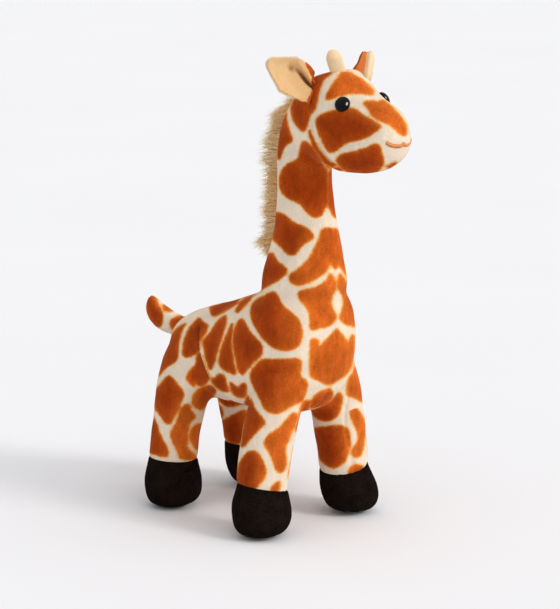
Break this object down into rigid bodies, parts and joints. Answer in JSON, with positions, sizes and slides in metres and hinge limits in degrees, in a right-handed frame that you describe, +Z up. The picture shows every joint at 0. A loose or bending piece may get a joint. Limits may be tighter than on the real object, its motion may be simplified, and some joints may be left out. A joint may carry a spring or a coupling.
{
  "type": "plush giraffe",
  "caption": "Standing stuffed toy giraffe with a printed short-pile skin, dark velvet hooves, a long-pile mane, cupped ears, stub horns and an upturned tail.",
  "frame": {"origin": "on the floor, under the middle of the bounding box", "axes": "+Z up; the head looks along -Y, the tail points along +Y, and the giraffe's own right side is at -X"},
  "size_m": [0.1444, 0.2998, 0.3818],
  "materials": {
    "printed_plush": "short-pile plush printed with brown patches on cream",
    "lining_plush": "short-pile plush, plain tan",
    "hoof_velvet": "matte dark velvet",
    "mane_pile": "long wispy pile",
    "mouth_thread": "satin embroidery thread",
    "eye_plastic": "polished",
    "washer_plastic": "natural moulded"
  },
  "bodies": {
    "toy": {"body": "printed_plush", "neck": "printed_plush", "head": "printed_plush", "front_leg_right": "printed_plush", "front_leg_left": "printed_plush", "rear_leg_right": "printed_plush", "rear_leg_left": "printed_plush", "front_hoof_right": "hoof_velvet", "front_hoof_left": "hoof_velvet", "rear_hoof_right": "hoof_velvet", "rear_hoof_left": "hoof_velvet", "horn_right": "lining_plush", "horn_left": "lining_plush", "mane": "mane_pile", "eye_right": "eye_plastic", "eye_left": "eye_plastic", "eye_washer_right": "washer_plastic", "eye_washer_left": "washer_plastic", "mouth_stitch_right": "mouth_thread", "mouth_stitch_left": "mouth_thread"},
    "ear_right": {"ear_outer_right": "printed_plush", "ear_lining_right": "lining_plush"},
    "ear_left": {"ear_outer_left": "printed_plush", "ear_lining_left": "lining_plush"},
    "tail": {"tail": "printed_plush"}
  },
  "joints": [
    {"name": "ear_right_flex", "type": "hinge", "parent": "toy", "child": "ear_right", "pos_m": [-0.02582, -0.07033, 0.35003], "axis": [0.4692, 0, 0.8831], "range_deg": [-15, 25], "stiffness_Nm_per_rad": 0.005},
    {"name": "ear_left_flex", "type": "hinge", "parent": "toy", "child": "ear_left", "pos_m": [0.02582, -0.07033, 0.35003], "axis": [-0.4692, 0, 0.8831], "range_deg": [-25, 15], "stiffness_Nm_per_rad": 0.005},
    {"name": "tail_flex", "type": "hinge", "parent": "toy", "child": "tail", "pos_m": [0, 0.10182, 0.136], "axis": [1, 0, 0], "range_deg": [-15, 20], "stiffness_Nm_per_rad": 0.03}
  ]
}
